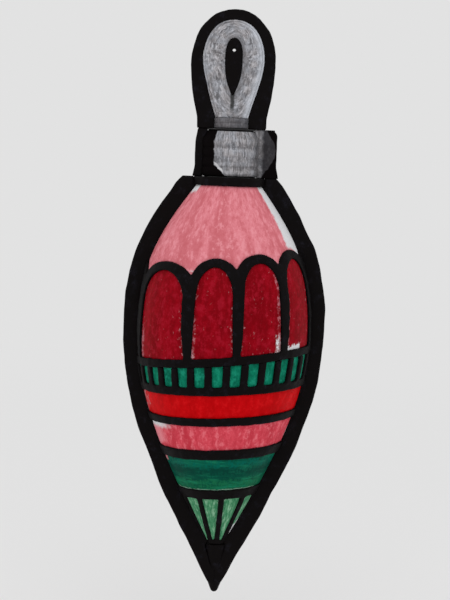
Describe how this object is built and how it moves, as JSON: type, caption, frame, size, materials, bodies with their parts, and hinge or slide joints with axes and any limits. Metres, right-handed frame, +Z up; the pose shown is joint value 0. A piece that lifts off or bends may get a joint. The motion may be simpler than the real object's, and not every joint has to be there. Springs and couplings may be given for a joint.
{
  "type": "teardrop hanging ornament",
  "caption": "Teardrop hanging ornament with enamelled petals and stripes between raised black ridges, a lift-off ribbed cap and a swivelling loop with an eye.",
  "frame": {"origin": "centre of the hanging eye, in the middle of its bore", "axes": "+Z up along the ornament's long axis, -Y out of the front, +X to the right as seen from the front; the eye's bore runs along Y"},
  "size_m": [0.0602, 0.0528, 0.1755],
  "materials": {
    "brushed_silver": "brushed silver plate with fine streaks",
    "dark_silver": "dark silver plate, satin",
    "plain_steel": "plain spring steel, satin",
    "black_enamel": "black enamel, semi gloss",
    "white_primed_shell": "white primer, satin",
    "pink_enamel": "enamel, semi gloss, streaked",
    "crimson_enamel": "enamel, semi gloss, streaked",
    "teal_enamel": "enamel, semi gloss, streaked",
    "red_enamel": "enamel, semi gloss, streaked",
    "rose_enamel": "enamel, semi gloss, streaked",
    "green_enamel": "enamel, semi gloss, streaked",
    "light_green_enamel": "enamel, semi gloss, streaked"
  },
  "bodies": {
    "hanger": {"silver_loop": "brushed_silver", "loop_edging": "black_enamel", "eye_insert": "black_enamel", "loop_ferrule": "dark_silver", "swivel_stem": "plain_steel", "retaining_nut": "plain_steel"},
    "cap": {"cap_barrel": "brushed_silver", "thrust_washer": "dark_silver", "cap_grip_left": "black_enamel", "cap_grip_right": "dark_silver", "spring_clip": "plain_steel"},
    "drop": {"neck_sleeve": "plain_steel", "neck_ring": "black_enamel", "rim_left": "black_enamel", "rim_right": "black_enamel", "tip_finial": "black_enamel", "front_shell": "white_primed_shell", "front_arch_ridge": "black_enamel", "front_dash_ridge": "black_enamel", "front_red_ridge": "black_enamel", "front_pink_ridge": "black_enamel", "front_fan_ridge": "black_enamel", "front_shoulder_enamel": "pink_enamel", "front_dash_enamel": "teal_enamel", "front_red_enamel": "red_enamel", "front_pink_enamel": "rose_enamel", "front_green_enamel": "green_enamel", "front_fan_enamel": "light_green_enamel", "rear_shell": "white_primed_shell", "rear_arch_ridge": "black_enamel", "rear_dash_ridge": "black_enamel", "rear_red_ridge": "black_enamel", "rear_pink_ridge": "black_enamel", "rear_fan_ridge": "black_enamel", "rear_shoulder_enamel": "pink_enamel", "rear_dash_enamel": "teal_enamel", "rear_red_enamel": "red_enamel", "rear_pink_enamel": "rose_enamel", "rear_green_enamel": "green_enamel", "rear_fan_enamel": "light_green_enamel", "front_petal_1": "crimson_enamel", "front_petal_2": "crimson_enamel", "front_petal_3": "crimson_enamel", "front_petal_4": "crimson_enamel", "front_petal_5": "crimson_enamel", "front_petal_6": "crimson_enamel", "rear_petal_1": "crimson_enamel", "rear_petal_2": "crimson_enamel", "rear_petal_3": "crimson_enamel", "rear_petal_4": "crimson_enamel", "rear_petal_5": "crimson_enamel", "rear_petal_6": "crimson_enamel"}
  },
  "joints": [
    {"name": "loop_swivel", "type": "hinge", "parent": "hanger", "child": "cap", "pos_m": [0, 0, -0.0236], "axis": [0, 0, 1], "continuous": true},
    {"name": "cap_release", "type": "slide", "parent": "cap", "child": "drop", "axis": [0, 0, -1], "range_m": [0, 0.03]}
  ]
}
